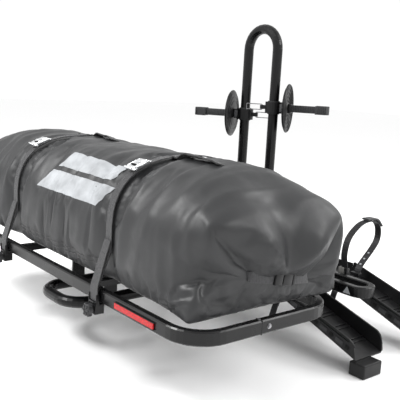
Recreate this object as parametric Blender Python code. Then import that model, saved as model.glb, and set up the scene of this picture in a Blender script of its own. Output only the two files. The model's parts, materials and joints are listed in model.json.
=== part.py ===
"""Hitch rack: a two-tray bike platform with a folding clamp mast, a cargo frame over its rear half
and a soft cargo bag lashed to that frame.

Units are metres and +Z is up. +Y points to the vehicle and +X to the rack's right end. The world
origin is the centre of the hitch pin. Every piece is laid out in deck coordinates, whose Y starts at
the cargo frame's rear face and whose Z starts at its underside; the "carrier" empty holds the shift.
"""
import math

import bmesh
import bpy
from mathutils import Matrix, Vector

GAP = 0.0003                     # between pieces that touch
PIN = Vector((0, 1.15, -0.09))   # hitch pin, in deck coordinates
TUBE_R = 0.03175 / 2             # round tube of the spine and the mast

FRAME_X, FRAME_Y = 0.634, 0.455  # cargo frame: half length, depth
RAIL_W, RAIL_H = 0.020, 0.0325   # rectangular tube, width and height
RAIL_WALL = 0.0025
FRAME_CORNER = 0.091
SPLICE_Y = 0.195

SPINE_Z, SPINE_X = -0.070, 0.090
SPINE_REAR, SPINE_FRONT, SPINE_CORNER = 0.027, 0.9617, 0.065
SPINE_TOP = SPINE_Z + TUBE_R + GAP

TRAY_Y = {"rear": 0.6275, "front": 0.8905}
TRAY_HALF_W, TRAY_WALL = 0.0605, 0.003
TRAY_FLAT_X, TRAY_END_X = 0.300, 0.612
TRAY_SLOPE = 0.34
CAP_END_X = 0.645

MAST_X, MAST_Y, MAST_TOP = 0.066, 0.767, 0.726
MAST_PIVOT_Z = 0.012
CLAMP_Z = {"left": 0.431, "right": 0.461}
DISC_R = 0.078
CLAMP_TURN = -58                 # degrees that both clamps are swung from square across the rack
ARM_TIP = 0.172

PIN_R, PIN_BORE_R = 0.0078, 0.0082
BOLT_Y, BOLT_R, BOLT_BORE_R = 1.03, 0.006, 0.0065
CHEEK_X, CHEEK_T, CHEEK_TIP_Y = 0.0275, 0.006, 1.060
HEAD_X, HEAD_HALF_H, HEAD_REAR, HEAD_FRONT = 0.112, 0.035, 0.962, 0.985
RELEASE_Y, RELEASE_DROP, RELEASE_R = 1.048, 0.020, 0.004
SHANK_HALF, SHANK_WALL, SHANK_START, SHANK_END = 0.0254, 0.004, 1.0, 1.22

BAG_X = (-0.69, 0.655)
BAG_Y, BAG_HALF_W = 0.250, 0.217
BAG_BOTTOM, BAG_TOP = 0.036, 0.343
STRAP_X, STRAP_W, STRAP_T = 0.265, 0.025, 0.0025
STRAP_LIFT = 0.0035              # strap centre line above the bag's skin
BUCKLE_ANGLE = 124               # degrees round the bag's section from its front


def clear_scene():
    for obj in list(bpy.data.objects):
        bpy.data.objects.remove(obj, do_unlink=True)


def material(name, colour, roughness, metallic=0.0):
    made = bpy.data.materials.new(name)
    made.use_nodes = True
    shader = made.node_tree.nodes["Principled BSDF"]
    shader.inputs["Base Color"].default_value = (*colour, 1)
    shader.inputs["Roughness"].default_value = roughness
    shader.inputs["Metallic"].default_value = metallic
    return made


def empty(name, parent, at):
    """A body's datum, placed in deck coordinates on the body's joint axis."""
    made = bpy.data.objects.new(name, None)
    bpy.context.collection.objects.link(made)
    made.parent = parent
    made["deck"] = at
    origin = Vector(parent["deck"]) if parent else Vector((0, 0, 0))
    made.location = Vector(at) - origin
    return made


def add(name, mesh_edit, look, parent, smooth=True):
    """Make an object from a bmesh drawn in deck coordinates, with its origin on its parent's."""
    origin = Vector(parent["deck"])
    bmesh.ops.translate(mesh_edit, verts=mesh_edit.verts, vec=-origin)
    bmesh.ops.recalc_face_normals(mesh_edit, faces=mesh_edit.faces)
    mesh = bpy.data.meshes.new(name)
    mesh_edit.to_mesh(mesh)
    mesh_edit.free()
    mesh.materials.append(look)
    if smooth:
        mesh.shade_smooth()
        mesh.set_sharp_from_angle(angle=math.radians(35))
    made = bpy.data.objects.new(name, mesh)
    bpy.context.collection.objects.link(made)
    made.parent = parent
    return made


def combine(target, shape, operation="DIFFERENCE"):
    """Cut a hidden helper solid from a piece, or join it on."""
    helper = add(target.name + "_" + operation.lower(), shape, target.data.materials[0],
                 target.parent, smooth=False)
    helper.hide_render = True
    helper.display_type = "WIRE"
    step = target.modifiers.new("Boolean", "BOOLEAN")
    step.operation = operation
    step.object = helper


def box(low, high, bevel=0.0):
    shape = bmesh.new()
    bmesh.ops.create_cube(shape, size=1)
    low, high = Vector(low), Vector(high)
    size = high - low
    for vert in shape.verts:
        vert.co = low + Vector((vert.co[i] + 0.5) * size[i] for i in range(3))
    if bevel:
        bmesh.ops.bevel(shape, geom=shape.edges[:], offset=bevel, segments=2, affect="EDGES",
                        profile=0.5)
    return shape


def cylinder(start, end, radius, sides=16, end_radius=None):
    shape = bmesh.new()
    start, end = Vector(start), Vector(end)
    axis = end - start
    turn = Vector((0, 0, 1)).rotation_difference(axis.normalized()).to_matrix().to_4x4()
    place = Matrix.Translation((start + end) / 2) @ turn
    bmesh.ops.create_cone(shape, cap_ends=True, segments=sides, radius1=radius,
                          radius2=radius if end_radius is None else end_radius,
                          depth=axis.length, matrix=place)
    return shape


def turned(profile, start, axis, sides):
    """Turn (radius, distance) points about an axis; radius 0 closes an end."""
    shape = bmesh.new()
    turn = Vector((0, 0, 1)).rotation_difference(Vector(axis)).to_matrix()
    rings = []
    for radius, height in profile:
        count = sides if radius > 0 else 1
        ring = []
        for i in range(count):
            angle = 2 * math.pi * i / sides
            local = Vector((radius * math.cos(angle), radius * math.sin(angle), height))
            ring.append(shape.verts.new(Vector(start) + turn @ local))
        rings.append(ring)
    for one, two in zip(rings, rings[1:]):
        for i in range(sides):
            corners = [one[i % len(one)], one[(i + 1) % len(one)],
                       two[(i + 1) % len(two)], two[i % len(two)]]
            shape.faces.new(list(dict.fromkeys(corners)))
    return shape


def prism(outline, plane, low, high):
    """Extrude an outline drawn in the XY, XZ or YZ plane along the third axis."""
    shape = bmesh.new()
    order = {"XY": (0, 1, 2), "XZ": (0, 2, 1), "YZ": (1, 2, 0)}[plane]

    def point(a, b, c):
        co = [0, 0, 0]
        co[order[0]], co[order[1]], co[order[2]] = a, b, c
        return shape.verts.new(co)

    lower = [point(a, b, low) for a, b in outline]
    upper = [point(a, b, high) for a, b in outline]
    shape.faces.new(lower)
    shape.faces.new(upper)
    for i in range(len(outline)):
        j = (i + 1) % len(outline)
        shape.faces.new((lower[i], lower[j], upper[j], upper[i]))
    return shape


def rounded(points, radius, steps=6, closed=False):
    """Round a polyline's corners with arcs."""
    points = [Vector(p) for p in points]
    path = []
    for i, corner in enumerate(points):
        if not closed and i in (0, len(points) - 1):
            path.append(corner)
            continue
        back = (points[i - 1] - corner).normalized()
        ahead = (points[(i + 1) % len(points)] - corner).normalized()
        half = back.angle(ahead) / 2
        centre = corner + (back + ahead).normalized() * (radius / math.sin(half))
        first = corner + back * (radius / math.tan(half)) - centre
        last = corner + ahead * (radius / math.tan(half)) - centre
        sweep = first.angle(last)
        for k in range(steps + 1):
            t = k / steps
            arm = (first * math.sin((1 - t) * sweep) + last * math.sin(t * sweep)) / math.sin(sweep)
            path.append(centre + arm)
    apart = 0.0006
    path = [p for i, p in enumerate(path) if i == 0 or (p - path[i - 1]).length > apart]
    if closed and (path[0] - path[-1]).length < apart:
        path.pop()
    return path


def smooth_path(points, steps):
    """A Catmull-Rom curve through hand-placed points."""
    points = [Vector(p) for p in points]
    ends = [2 * points[0] - points[1], *points, 2 * points[-1] - points[-2]]
    path = []
    for a, b, c, d in zip(ends, ends[1:], ends[2:], ends[3:]):
        for k in range(steps):
            t = k / steps
            path.append(0.5 * (2 * b + (c - a) * t + (2 * a - 5 * b + 4 * c - d) * t * t
                               + (3 * b - a - 3 * c + d) * t ** 3))
    path.append(points[-1])
    return path


def sweep(path, profile, across, closed=False, hollow=None):
    """Sweep (side, across) profile points along a flat path; across is the path plane's normal."""
    shape = bmesh.new()
    across = Vector(across)
    count = len(path)
    loops = []
    for outline in filter(None, (profile, hollow)):
        rings = []
        for i, centre in enumerate(path):
            before = path[i - 1] if closed or i else path[0]
            after = path[(i + 1) % count] if closed or i < count - 1 else path[-1]
            side = across.cross(after - before).normalized()
            rings.append([shape.verts.new(centre + side * a + across * b) for a, b in outline])
        spans = range(count if closed else count - 1)
        for i in spans:
            one, two = rings[i], rings[(i + 1) % count]
            for k in range(len(one)):
                m = (k + 1) % len(one)
                shape.faces.new((one[k], one[m], two[m], two[k]))
        loops.append(rings)
    if closed:
        return shape
    for end in (0, -1):
        if hollow:
            outer, inner = loops[0][end], loops[1][end]
            for k in range(len(outer)):
                m = (k + 1) % len(outer)
                shape.faces.new((outer[k], outer[m], inner[m], inner[k]))
        else:
            shape.faces.new(loops[0][end])
    return shape


def circle(radius, sides):
    return [(radius * math.cos(2 * math.pi * i / sides), radius * math.sin(2 * math.pi * i / sides))
            for i in range(sides)]


def rectangle(width, height, corner=0.0):
    """A rectangle with eased corners; a corner of 0 leaves doubled points out."""
    w, h = width / 2, height / 2
    if not corner:
        return [(-w, -h), (w, -h), (w, h), (-w, h)]
    c = corner
    return [(-w + c, -h), (w - c, -h), (w, -h + c), (w, h - c),
            (w - c, h), (-w + c, h), (-w, h - c), (-w, -h + c)]


# ---------------------------------------------------------------- hitch

def build_hitch(hitch, platform, look):
    half, inner, z = SHANK_HALF, SHANK_HALF - SHANK_WALL, PIN.z
    path = [Vector((0, SHANK_START, z)), Vector((0, SHANK_END, z))]
    tube = sweep(path, rectangle(2 * half, 2 * half, 0.004), (0, 0, 1),
                 hollow=rectangle(2 * inner, 2 * inner, 0.003))
    shank = add("hitch_shank", tube, look["steel"], hitch, False)
    for y, radius in ((PIN.y, PIN_BORE_R), (BOLT_Y, BOLT_BORE_R)):
        combine(shank, cylinder((-0.04, y, z), (0.04, y, z), radius))

    pin = [(0, -0.052), (0.013, -0.052), (0.013, -0.046), (PIN_R, -0.044),
           (PIN_R, 0.050), (0.006, 0.053), (0, 0.053)]
    add("hitch_pin", turned(pin, PIN, (1, 0, 0), 16), look["zinc"], hitch)
    clip_x, clip_half, clip_top = 0.044, 0.0101, 0.030
    clip = rounded([(clip_x, PIN.y - clip_half, z - clip_half), (clip_x, PIN.y + clip_half, z - clip_half),
                    (clip_x, PIN.y + clip_half, z + clip_top), (clip_x, PIN.y - clip_half, z + clip_top)],
                   0.010, 4, True)
    add("hitch_pin_clip", sweep(clip, circle(0.0015, 6), (1, 0, 0), True), look["zinc"], hitch)
    bolt = [(0, -0.041), (0.010, -0.041), (0.010, -0.034), (BOLT_R, -0.034),
            (BOLT_R, 0.034), (0.010, 0.034), (0.010, 0.041), (0, 0.041)]
    add("tilt_bolt", turned(bolt, (0, BOLT_Y, z), (1, 0, 0), 12), look["zinc"], hitch)

    inner, outer, wide = CHEEK_X, CHEEK_X + CHEEK_T, HEAD_X
    outline = [(-wide, HEAD_REAR), (wide, HEAD_REAR), (wide, HEAD_FRONT),
               (outer, HEAD_FRONT), (outer, CHEEK_TIP_Y), (inner, CHEEK_TIP_Y), (inner, HEAD_FRONT),
               (-inner, HEAD_FRONT), (-inner, CHEEK_TIP_Y), (-outer, CHEEK_TIP_Y), (-outer, HEAD_FRONT),
               (-wide, HEAD_FRONT)]
    head = add("tilt_head", prism(outline, "XY", z - HEAD_HALF_H, z + HEAD_HALF_H),
               look["frame"], platform, False)
    combine(head, cylinder((-0.05, BOLT_Y, z), (0.05, BOLT_Y, z), BOLT_BORE_R))
    release = empty("tilt_release", platform, (CHEEK_X, RELEASE_Y, z - RELEASE_DROP))
    place = Vector(release["deck"])
    combine(head, cylinder(place - Vector((0.01, 0, 0)), place + Vector((0.02, 0, 0)),
                           RELEASE_R + 0.0005, 12))
    plunger = [(0, 0.0005), (RELEASE_R, 0.0005), (RELEASE_R, 0.020), (0.010, 0.021),
               (0.010, 0.034), (0.007, 0.037), (0, 0.037)]
    add("tilt_release_pin", turned(plunger, place, (1, 0, 0), 12), look["plastic"], release)


# ---------------------------------------------------------------- spine and cargo frame

def build_spine(platform, look):
    corners = [(-SPINE_X, SPINE_FRONT, SPINE_Z), (-SPINE_X, SPINE_REAR, SPINE_Z),
               (SPINE_X, SPINE_REAR, SPINE_Z), (SPINE_X, SPINE_FRONT, SPINE_Z)]
    add("spine_loop", sweep(rounded(corners, SPINE_CORNER, 8), circle(TUBE_R, 14), (0, 0, 1)),
        look["frame"], platform)
    plate, leg, reach, under = 0.003, 0.003, 0.315, 0.0087
    for name, y in (("rear", 0.150), ("front", 0.350)):
        left = [(-reach, under + plate), (-reach, under), (-SPINE_X - leg, under),
                (-SPINE_X - leg, SPINE_TOP), (-SPINE_X + leg, SPINE_TOP), (-SPINE_X + leg, under)]
        right = [(-x, height) for x, height in reversed(left)]
        add("frame_riser_" + name, prism(left + right, "XZ", y - 0.02, y + 0.02),
            look["frame"], platform, False)


def build_cargo_frame(platform, look):
    inset, middle = RAIL_W / 2, RAIL_H / 2
    x, near, far = FRAME_X - inset, inset, FRAME_Y - inset
    bend = FRAME_CORNER - inset
    outer = rectangle(RAIL_W, RAIL_H, 0.003)
    inner = rectangle(RAIL_W - 2 * RAIL_WALL, RAIL_H - 2 * RAIL_WALL, 0.001)
    for name, y, joint in (("rear", near, SPLICE_Y), ("front", far, SPLICE_Y + GAP)):
        corners = [(-x, joint, middle), (-x, y, middle), (x, y, middle), (x, joint, middle)]
        add("cargo_frame_" + name, sweep(rounded(corners, bend, 9), outer, (0, 0, 1), hollow=inner),
            look["frame"], platform)
    for name, bar_x in (("left", -0.20), ("right", 0.20)):
        bar = box((bar_x - 0.0125, RAIL_W + GAP, 0.012),
                  (bar_x + 0.0125, FRAME_Y - RAIL_W - GAP, 0.0305), 0.002)
        add("deck_bar_" + name, bar, look["frame"], platform)
    add("rear_reflector", box((0.349, -0.0045, 0.0085), (0.504, -GAP, 0.0224), 0.001),
        look["red"], platform)


# ---------------------------------------------------------------- trays

def tray_floor(x):
    return SPINE_TOP - TRAY_SLOPE * max(0.0, x - TRAY_FLAT_X)


def tray_rim(x):
    """The side walls grow towards the end and round off at its last 20 mm."""
    height = 0.030 + 0.055 * (x - TRAY_FLAT_X)
    past = max(0.0, x - (TRAY_END_X - 0.020)) / 0.020
    return tray_floor(x) + 0.006 + (height - 0.006) * math.sqrt(max(0.0, 1 - past * past))


def cradle_shape(side, y):
    """A sloping U channel, drawn as one closed loop of points at each station."""
    shape = bmesh.new()
    stations = [TRAY_FLAT_X + GAP, 0.36, 0.42, 0.48, 0.54, 0.592, 0.600, 0.606, 0.610, TRAY_END_X]
    w, t = TRAY_HALF_W, TRAY_WALL
    rings = []
    for x in stations:
        low, high = tray_floor(x), tray_rim(x)
        points = [(-w + 0.008, low), (w - 0.008, low), (w - 0.003, low + 0.005), (w, high), (w - t, high),
                  (w - t - 0.003, low + t), (-w + t + 0.003, low + t), (-w + t, high), (-w, high),
                  (-w + 0.003, low + 0.005)]
        rings.append([shape.verts.new((side * x, y + a, z)) for a, z in points])
    for one, two in zip(rings, rings[1:]):
        for k in range(len(one)):
            m = (k + 1) % len(one)
            shape.faces.new((one[k], one[m], two[m], two[k]))
    shape.faces.new(rings[0])
    shape.faces.new(rings[-1])
    return shape


def build_trays(platform, look):
    w, t = TRAY_HALF_W - 0.004, TRAY_WALL
    low, high = SPINE_TOP, SPINE_TOP + 0.028
    for row, y in TRAY_Y.items():
        channel = [(y - w, low), (y + w, low), (y + w, high), (y + w - t, high), (y + w - t, low + t),
                   (y - w + t, low + t), (y - w + t, high), (y - w, high)]
        add("tray_beam_" + row, prism(channel, "YZ", -TRAY_FLAT_X, TRAY_FLAT_X),
            look["plastic"], platform, False)
        for name, side in (("left", -1), ("right", 1)):
            tag = row + "_" + name
            add("wheel_cradle_" + tag, cradle_shape(side, y), look["plastic"], platform)
            ends = sorted((side * 0.596, side * CAP_END_X))
            near, top = y - TRAY_HALF_W, tray_floor(TRAY_END_X) - GAP
            cap = box((ends[0], near, top - 0.038), (ends[1], near + 0.075, top), 0.004)
            add("tray_end_cap_" + tag, cap, look["plastic"], platform)


def build_wheel_straps(platform, look):
    """A ladder strap stands in a loop on each cradle, closed at the top by a ratchet buckle."""
    loop = [(-0.046, -0.052), (-0.045, -0.015), (-0.054, 0.027), (-0.042, 0.076), (-0.004, 0.110),
            (0.035, 0.124), (0.080, 0.121), (0.105, 0.099), (0.108, 0.062), (0.086, 0.031),
            (0.030, -0.020), (0.018, -0.050)]
    lever = [(0.036, 0.1315), (0.084, 0.1285), (0.113, 0.104)]
    for row, tray_y in TRAY_Y.items():
        for name, side in (("left", -1), ("right", 1)):
            tag, x = row + "_" + name, side * 0.345
            path = smooth_path([(x, tray_y + y, z) for y, z in loop], 4)
            add("wheel_strap_" + tag, sweep(path, rectangle(0.003, 0.022), (1, 0, 0)),
                look["rubber"], platform)
            hinge = empty("wheel_buckle_hinge_" + tag, platform, (x, tray_y + 0.037, 0.1335))
            buckle = smooth_path([(x, tray_y + y, z) for y, z in lever], 4)
            add("wheel_buckle_" + tag, sweep(buckle, rectangle(0.006, 0.026, 0.0015), (1, 0, 0)),
                look["grey"], hinge)


# ---------------------------------------------------------------- mast and clamps

def build_mast(platform, mast, look):
    width, half_gap = RAIL_W, 0.032
    reach, middle = 0.505 - half_gap - width / 2, SPINE_TOP + RAIL_H / 2
    end, near, far = reach + half_gap, MAST_Y - half_gap, MAST_Y + half_gap
    corners = [(-end, near, middle), (end, near, middle), (end, far, middle), (-end, far, middle)]
    tube = sweep(rounded(corners, half_gap - 0.0005, 6, True), rectangle(width, RAIL_H, 0.003),
                 (0, 0, 1), True)
    add("mast_support_loop", tube, look["frame"], platform)
    top = SPINE_TOP + RAIL_H + GAP
    cheek, thick, base = TUBE_R + 0.0008, 0.004, 0.004
    outer, tip, bore = cheek + thick, MAST_PIVOT_Z + 0.016, 0.0055
    for name, side in (("left", -1), ("right", 1)):
        x = side * MAST_X
        outline = [(x - outer, top), (x + outer, top), (x + outer, tip), (x + cheek, tip),
                   (x + cheek, top + base), (x - cheek, top + base), (x - cheek, tip), (x - outer, tip)]
        bracket = add("mast_bracket_" + name, prism(outline, "XZ", MAST_Y - 0.030, MAST_Y + 0.030),
                      look["frame"], platform, False)
        combine(bracket, cylinder((x - 0.03, MAST_Y, MAST_PIVOT_Z), (x + 0.03, MAST_Y, MAST_PIVOT_Z),
                                  bore, 12))
    end, head, shaft = MAST_X + outer + GAP, 0.009, 0.005
    bolt = [(0, -end - 0.006), (head, -end - 0.006), (head, -end), (shaft, -end),
            (shaft, end), (head, end), (head, end + 0.006), (0, end + 0.006)]
    add("mast_pivot_bolt", turned(bolt, (0, MAST_Y, MAST_PIVOT_Z), (1, 0, 0), 12),
        look["zinc"], platform)
    crown, foot = MAST_TOP - TUBE_R, MAST_PIVOT_Z - 0.013
    corners = [(-MAST_X, MAST_Y, foot), (-MAST_X, MAST_Y, crown),
               (MAST_X, MAST_Y, crown), (MAST_X, MAST_Y, foot)]
    hoop = add("mast_hoop", sweep(rounded(corners, MAST_X - 0.0005, 8), circle(TUBE_R, 16), (0, 1, 0)),
               look["frame"], mast)
    combine(hoop, cylinder((-0.1, MAST_Y, MAST_PIVOT_Z), (0.1, MAST_Y, MAST_PIVOT_Z), bore, 12))


def build_clamp(name, mast, look):
    """A clamp turns on a sleeve that slides up and down its leg; its arm points out, its bail in."""
    side, out = (-1, -1) if name == "left" else (1, 1)
    x, z = side * MAST_X, CLAMP_Z[name]
    slider = empty(name + "_clamp_slide", mast, (x, MAST_Y, z))
    swivel = empty(name + "_clamp_swivel", slider, (x, MAST_Y, z))
    leg = Matrix.Translation((x, MAST_Y, 0))
    swing = leg @ Matrix.Rotation(math.radians(CLAMP_TURN), 4, "Z") @ leg.inverted()

    def swung(shape):
        shape.transform(swing)
        return shape

    def at(distance, height=0.0, across=0.0):
        """A point out along the unswung arm from the leg's axis."""
        return Vector((x + across, MAST_Y + out * distance, z + height))

    def block(near, far, half_x, half_z, bevel=0.0):
        one, two = at(near, -half_z, -half_x), at(far, half_z, half_x)
        low = [min(a, b) for a, b in zip(one, two)]
        high = [max(a, b) for a, b in zip(one, two)]
        return box(low, high, bevel)

    bore, sleeve, collar_r = TUBE_R + 0.0006, 0.0195, 0.0275
    ring = [(bore, -0.021), (sleeve, -0.021), (sleeve, 0.021), (bore, 0.021), (bore, -0.021)]
    liner = turned(ring, (x, MAST_Y, z), (0, 0, 1), 16)
    bmesh.ops.remove_doubles(liner, verts=liner.verts, dist=1e-6)
    add(name + "_clamp_sleeve", liner, look["grey"], slider)

    collar = add(name + "_clamp_collar", swung(cylinder(at(0, -0.018), at(0, 0.018), collar_r, 20)),
                 look["plastic"], swivel)
    combine(collar, swung(block(0.022, 0.0365, 0.011, 0.0125, 0.002)), "UNION")
    combine(collar, swung(block(-0.044, -0.023, 0.005, 0.0065)), "UNION")
    combine(collar, swung(cylinder(at(0, -0.03), at(0, 0.03), sleeve + 0.0004, 20)))
    combine(collar, swung(cylinder(at(-0.038, -0.02), at(-0.038, 0.02), 0.0022, 10)))

    dish = [(0, 0.0), (0.020, 0.0), (0.070, 0.0045), (DISC_R, 0.008), (DISC_R, 0.0105), (0.068, 0.0095),
            (0.022, 0.0075), (0.018, 0.011), (0, 0.011)]
    add(name + "_clamp_disc", swung(turned(dish, at(0.0368), (0, out, 0), 28)), look["plastic"], swivel)
    root, tip, half_gap = 0.0482, ARM_TIP, 0.0095
    path = rounded([at(root, 0, -half_gap), at(tip, 0, -half_gap), at(tip, 0, half_gap),
                    at(root, 0, half_gap)], half_gap - 0.0002, 5)
    add(name + "_clamp_strap", swung(sweep(path, rectangle(0.004, 0.022), (0, 0, 1))),
        look["grey"], swivel)
    shell, skin = half_gap + 0.0045, 0.004
    inner_end, outer_end = tip - 0.036, tip + 0.0045
    path = rounded([at(inner_end, 0, -shell), at(outer_end, 0, -shell), at(outer_end, 0, shell),
                    at(inner_end, 0, shell)], shell - 0.0002, 5)
    add(name + "_clamp_grip", swung(sweep(path, rectangle(skin, 0.027, 0.001), (0, 0, 1))),
        look["grey"], swivel)

    lug, loop, wire_z = -0.038, -0.090, 0.0088
    bail = empty(name + "_bail_hinge", swivel, swing @ at(lug))
    wire = rounded([at(lug, -wire_z), at(loop, -wire_z), at(loop, wire_z), at(lug, wire_z)],
                   0.0028, 4, True)
    add(name + "_clamp_bail", swung(sweep(wire, circle(0.0015, 6), (1, 0, 0), True)), look["zinc"], bail)


# ---------------------------------------------------------------- bag and lashing straps

def bag_fullness(x):
    """1 along the middle, falling to 0.55 at each end."""
    reach = BAG_X[1] if x > 0 else -BAG_X[0]
    t = max(0.0, abs(x) / reach - 0.55) / 0.45
    return 1 - 0.45 * t ** 2.2


def bag_point(x, angle, out=0.0):
    """A point of the bag's section, a rounded loaf that lies flat on the deck, pushed out."""
    fill = bag_fullness(x)
    middle = BAG_BOTTOM + (BAG_TOP - BAG_BOTTOM) * 0.45
    c, s = math.cos(angle), math.sin(angle)
    power = 2 / 2.5 if s > 0 else 2 / 4.5
    tall = (BAG_TOP - middle) * (0.35 + 0.65 * fill) if s > 0 else middle - BAG_BOTTOM
    wide = BAG_HALF_W * (0.80 + 0.20 * fill)
    y = BAG_Y + (wide + out) * math.copysign(abs(c) ** power, c)
    z = middle + (tall + out) * math.copysign(abs(s) ** power, s)
    return Vector((x, y, z))


def build_bag(platform, look):
    shape = bmesh.new()
    stations, sides = 16, 28
    rings = []
    for i in range(stations + 1):
        t = math.cos(math.pi * i / stations)
        x = (BAG_X[1] + BAG_X[0]) / 2 + (BAG_X[1] - BAG_X[0]) / 2 * t
        rings.append([shape.verts.new(bag_point(x, 2 * math.pi * (k + 0.5) / sides))
                      for k in range(sides)])
    for one, two in zip(rings, rings[1:]):
        for k in range(sides):
            m = (k + 1) % sides
            shape.faces.new((one[k], one[m], two[m], two[k]))
    shape.faces.new(rings[0])
    shape.faces.new(rings[-1])
    add("cargo_bag", shape, look["fabric"], platform)


def build_cargo_strap(name, x, platform, look):
    """A strap runs from the rear rail over the bag to the front rail, tightened by a cam buckle."""
    low = [(-0.0048, -0.003), (-0.0048, 0.036)]
    over = [bag_point(x, math.radians(angle), STRAP_LIFT)[1:] for angle in range(186, -7, -8)]
    high = [(max(FRAME_Y + 0.0150, over[-1][0]), 0.036), (FRAME_Y + 0.0048, -0.003)]
    path = [Vector((x, y, z)) for y, z in low + over + high]
    add("cargo_strap_" + name, sweep(path, rectangle(STRAP_T, STRAP_W), (1, 0, 0)),
        look["webbing"], platform)

    angle = math.radians(BUCKLE_ANGLE)
    here, ahead = bag_point(x, angle, STRAP_LIFT), bag_point(x, angle - 0.05, STRAP_LIFT)
    along = (ahead - here).normalized()
    normal = Vector((0, -along.z, along.y))
    tilt = Matrix.Rotation(math.atan2(along.z, along.y), 4, "X")
    turn = Matrix.Translation(here + normal * 0.0050) @ tilt
    body = box((-0.019, -0.022, -0.0015), (0.019, 0.022, 0.0045), 0.001)
    body.transform(turn)
    add("cam_buckle_" + name, body, look["chrome"], platform)
    hinge = empty("cam_lever_hinge_" + name, platform, turn @ Vector((0, 0.016, 0.0085)))
    lever = box((-0.0145, -0.030, 0.0050), (0.0145, 0.018, 0.0090), 0.0012)
    lever.transform(turn)
    add("cam_lever_" + name, lever, look["chrome"], hinge)

    bracket = box((x - 0.014, -0.012, -0.030), (x + 0.014, 0.014, -0.0045), 0.002)
    add("strap_anchor_" + name, bracket, look["plastic"], platform)
    spin = empty("strap_knob_axis_" + name, platform, (x, -0.0123, -0.0175))
    knob = [(0, 0), (0.008, 0), (0.008, 0.004), (0.0145, 0.006), (0.0145, 0.016), (0.012, 0.018),
            (0, 0.018)]
    add("strap_knob_" + name, turned(knob, spin["deck"], (0, -1, 0), 16), look["grey"], spin)


def main():
    clear_scene()
    look = {
        "frame": material("black_powder_coat", (0.018, 0.018, 0.020), 0.35, 0.3),
        "steel": material("painted_shank", (0.02, 0.02, 0.022), 0.4, 0.3),
        "zinc": material("zinc_fastener", (0.55, 0.55, 0.57), 0.35, 1.0),
        "chrome": material("chrome_buckle", (0.75, 0.75, 0.77), 0.15, 1.0),
        "plastic": material("black_plastic", (0.02, 0.02, 0.022), 0.5),
        "grey": material("grey_plastic", (0.08, 0.08, 0.085), 0.5),
        "rubber": material("strap_rubber", (0.03, 0.03, 0.032), 0.6),
        "red": material("red_reflector", (0.65, 0.01, 0.015), 0.2),
        "fabric": material("bag_fabric", (0.07, 0.07, 0.075), 0.55),
        "webbing": material("grey_webbing", (0.09, 0.09, 0.095), 0.75),
    }
    carrier = empty("carrier", None, (0, 0, 0))
    carrier.location = -PIN
    hitch = empty("hitch", carrier, (0, 0, 0))
    platform = empty("platform", carrier, (0, BOLT_Y, PIN.z))
    mast = empty("mast", platform, (0, MAST_Y, MAST_PIVOT_Z))
    build_hitch(hitch, platform, look)
    build_spine(platform, look)
    build_cargo_frame(platform, look)
    build_trays(platform, look)
    build_wheel_straps(platform, look)
    build_mast(platform, mast, look)
    for name in ("left", "right"):
        build_clamp(name, mast, look)
    build_bag(platform, look)
    for name, x in (("left", -STRAP_X), ("right", STRAP_X)):
        build_cargo_strap(name, x, platform, look)


main()
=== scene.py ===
"""Looks for the hitch cargo carrier: camera, light, materials, the sagging bag and the fine trim."""
import json
import math

import bmesh
import bpy
from mathutils import Matrix, Vector, noise
from mathutils.bvhtree import BVHTree


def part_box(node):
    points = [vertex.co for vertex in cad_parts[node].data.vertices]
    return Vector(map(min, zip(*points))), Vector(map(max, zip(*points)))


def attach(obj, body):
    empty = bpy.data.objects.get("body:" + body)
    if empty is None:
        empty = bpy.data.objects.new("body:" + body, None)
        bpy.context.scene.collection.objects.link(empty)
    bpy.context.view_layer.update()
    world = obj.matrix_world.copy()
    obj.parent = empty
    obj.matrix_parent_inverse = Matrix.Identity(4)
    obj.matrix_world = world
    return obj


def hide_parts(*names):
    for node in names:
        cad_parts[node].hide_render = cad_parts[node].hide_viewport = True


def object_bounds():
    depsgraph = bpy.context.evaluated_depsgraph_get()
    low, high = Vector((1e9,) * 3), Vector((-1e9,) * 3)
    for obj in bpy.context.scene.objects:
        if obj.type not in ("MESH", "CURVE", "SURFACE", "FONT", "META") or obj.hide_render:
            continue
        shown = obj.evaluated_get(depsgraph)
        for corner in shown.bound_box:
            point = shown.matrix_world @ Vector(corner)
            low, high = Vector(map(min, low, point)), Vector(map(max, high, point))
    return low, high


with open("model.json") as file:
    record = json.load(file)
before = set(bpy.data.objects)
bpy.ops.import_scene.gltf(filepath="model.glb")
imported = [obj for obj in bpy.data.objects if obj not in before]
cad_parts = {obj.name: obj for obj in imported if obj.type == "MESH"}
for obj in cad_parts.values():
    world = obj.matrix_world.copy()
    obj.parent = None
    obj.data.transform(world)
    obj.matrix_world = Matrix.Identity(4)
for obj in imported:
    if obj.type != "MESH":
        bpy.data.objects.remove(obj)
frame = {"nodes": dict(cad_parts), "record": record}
START_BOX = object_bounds()
NODES = frame["nodes"]
SIDES = {"left": -1, "right": 1}

# Deck coordinates: Y from the cargo frame's rear face, Z from its underside, X from its middle.
DECK = Vector((0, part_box("cargo_frame_rear")[0].y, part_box("cargo_frame_rear")[0].z))
EPSILON = 1e-9


def deck(x, y, z):
    return DECK + Vector((x, y, z))


def deck_box(node):
    """A CAD node's low and high corners in deck coordinates."""
    low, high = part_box(node)
    return low - DECK, high - DECK


# ---------------------------------------------------------------- camera, light and floor

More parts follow.
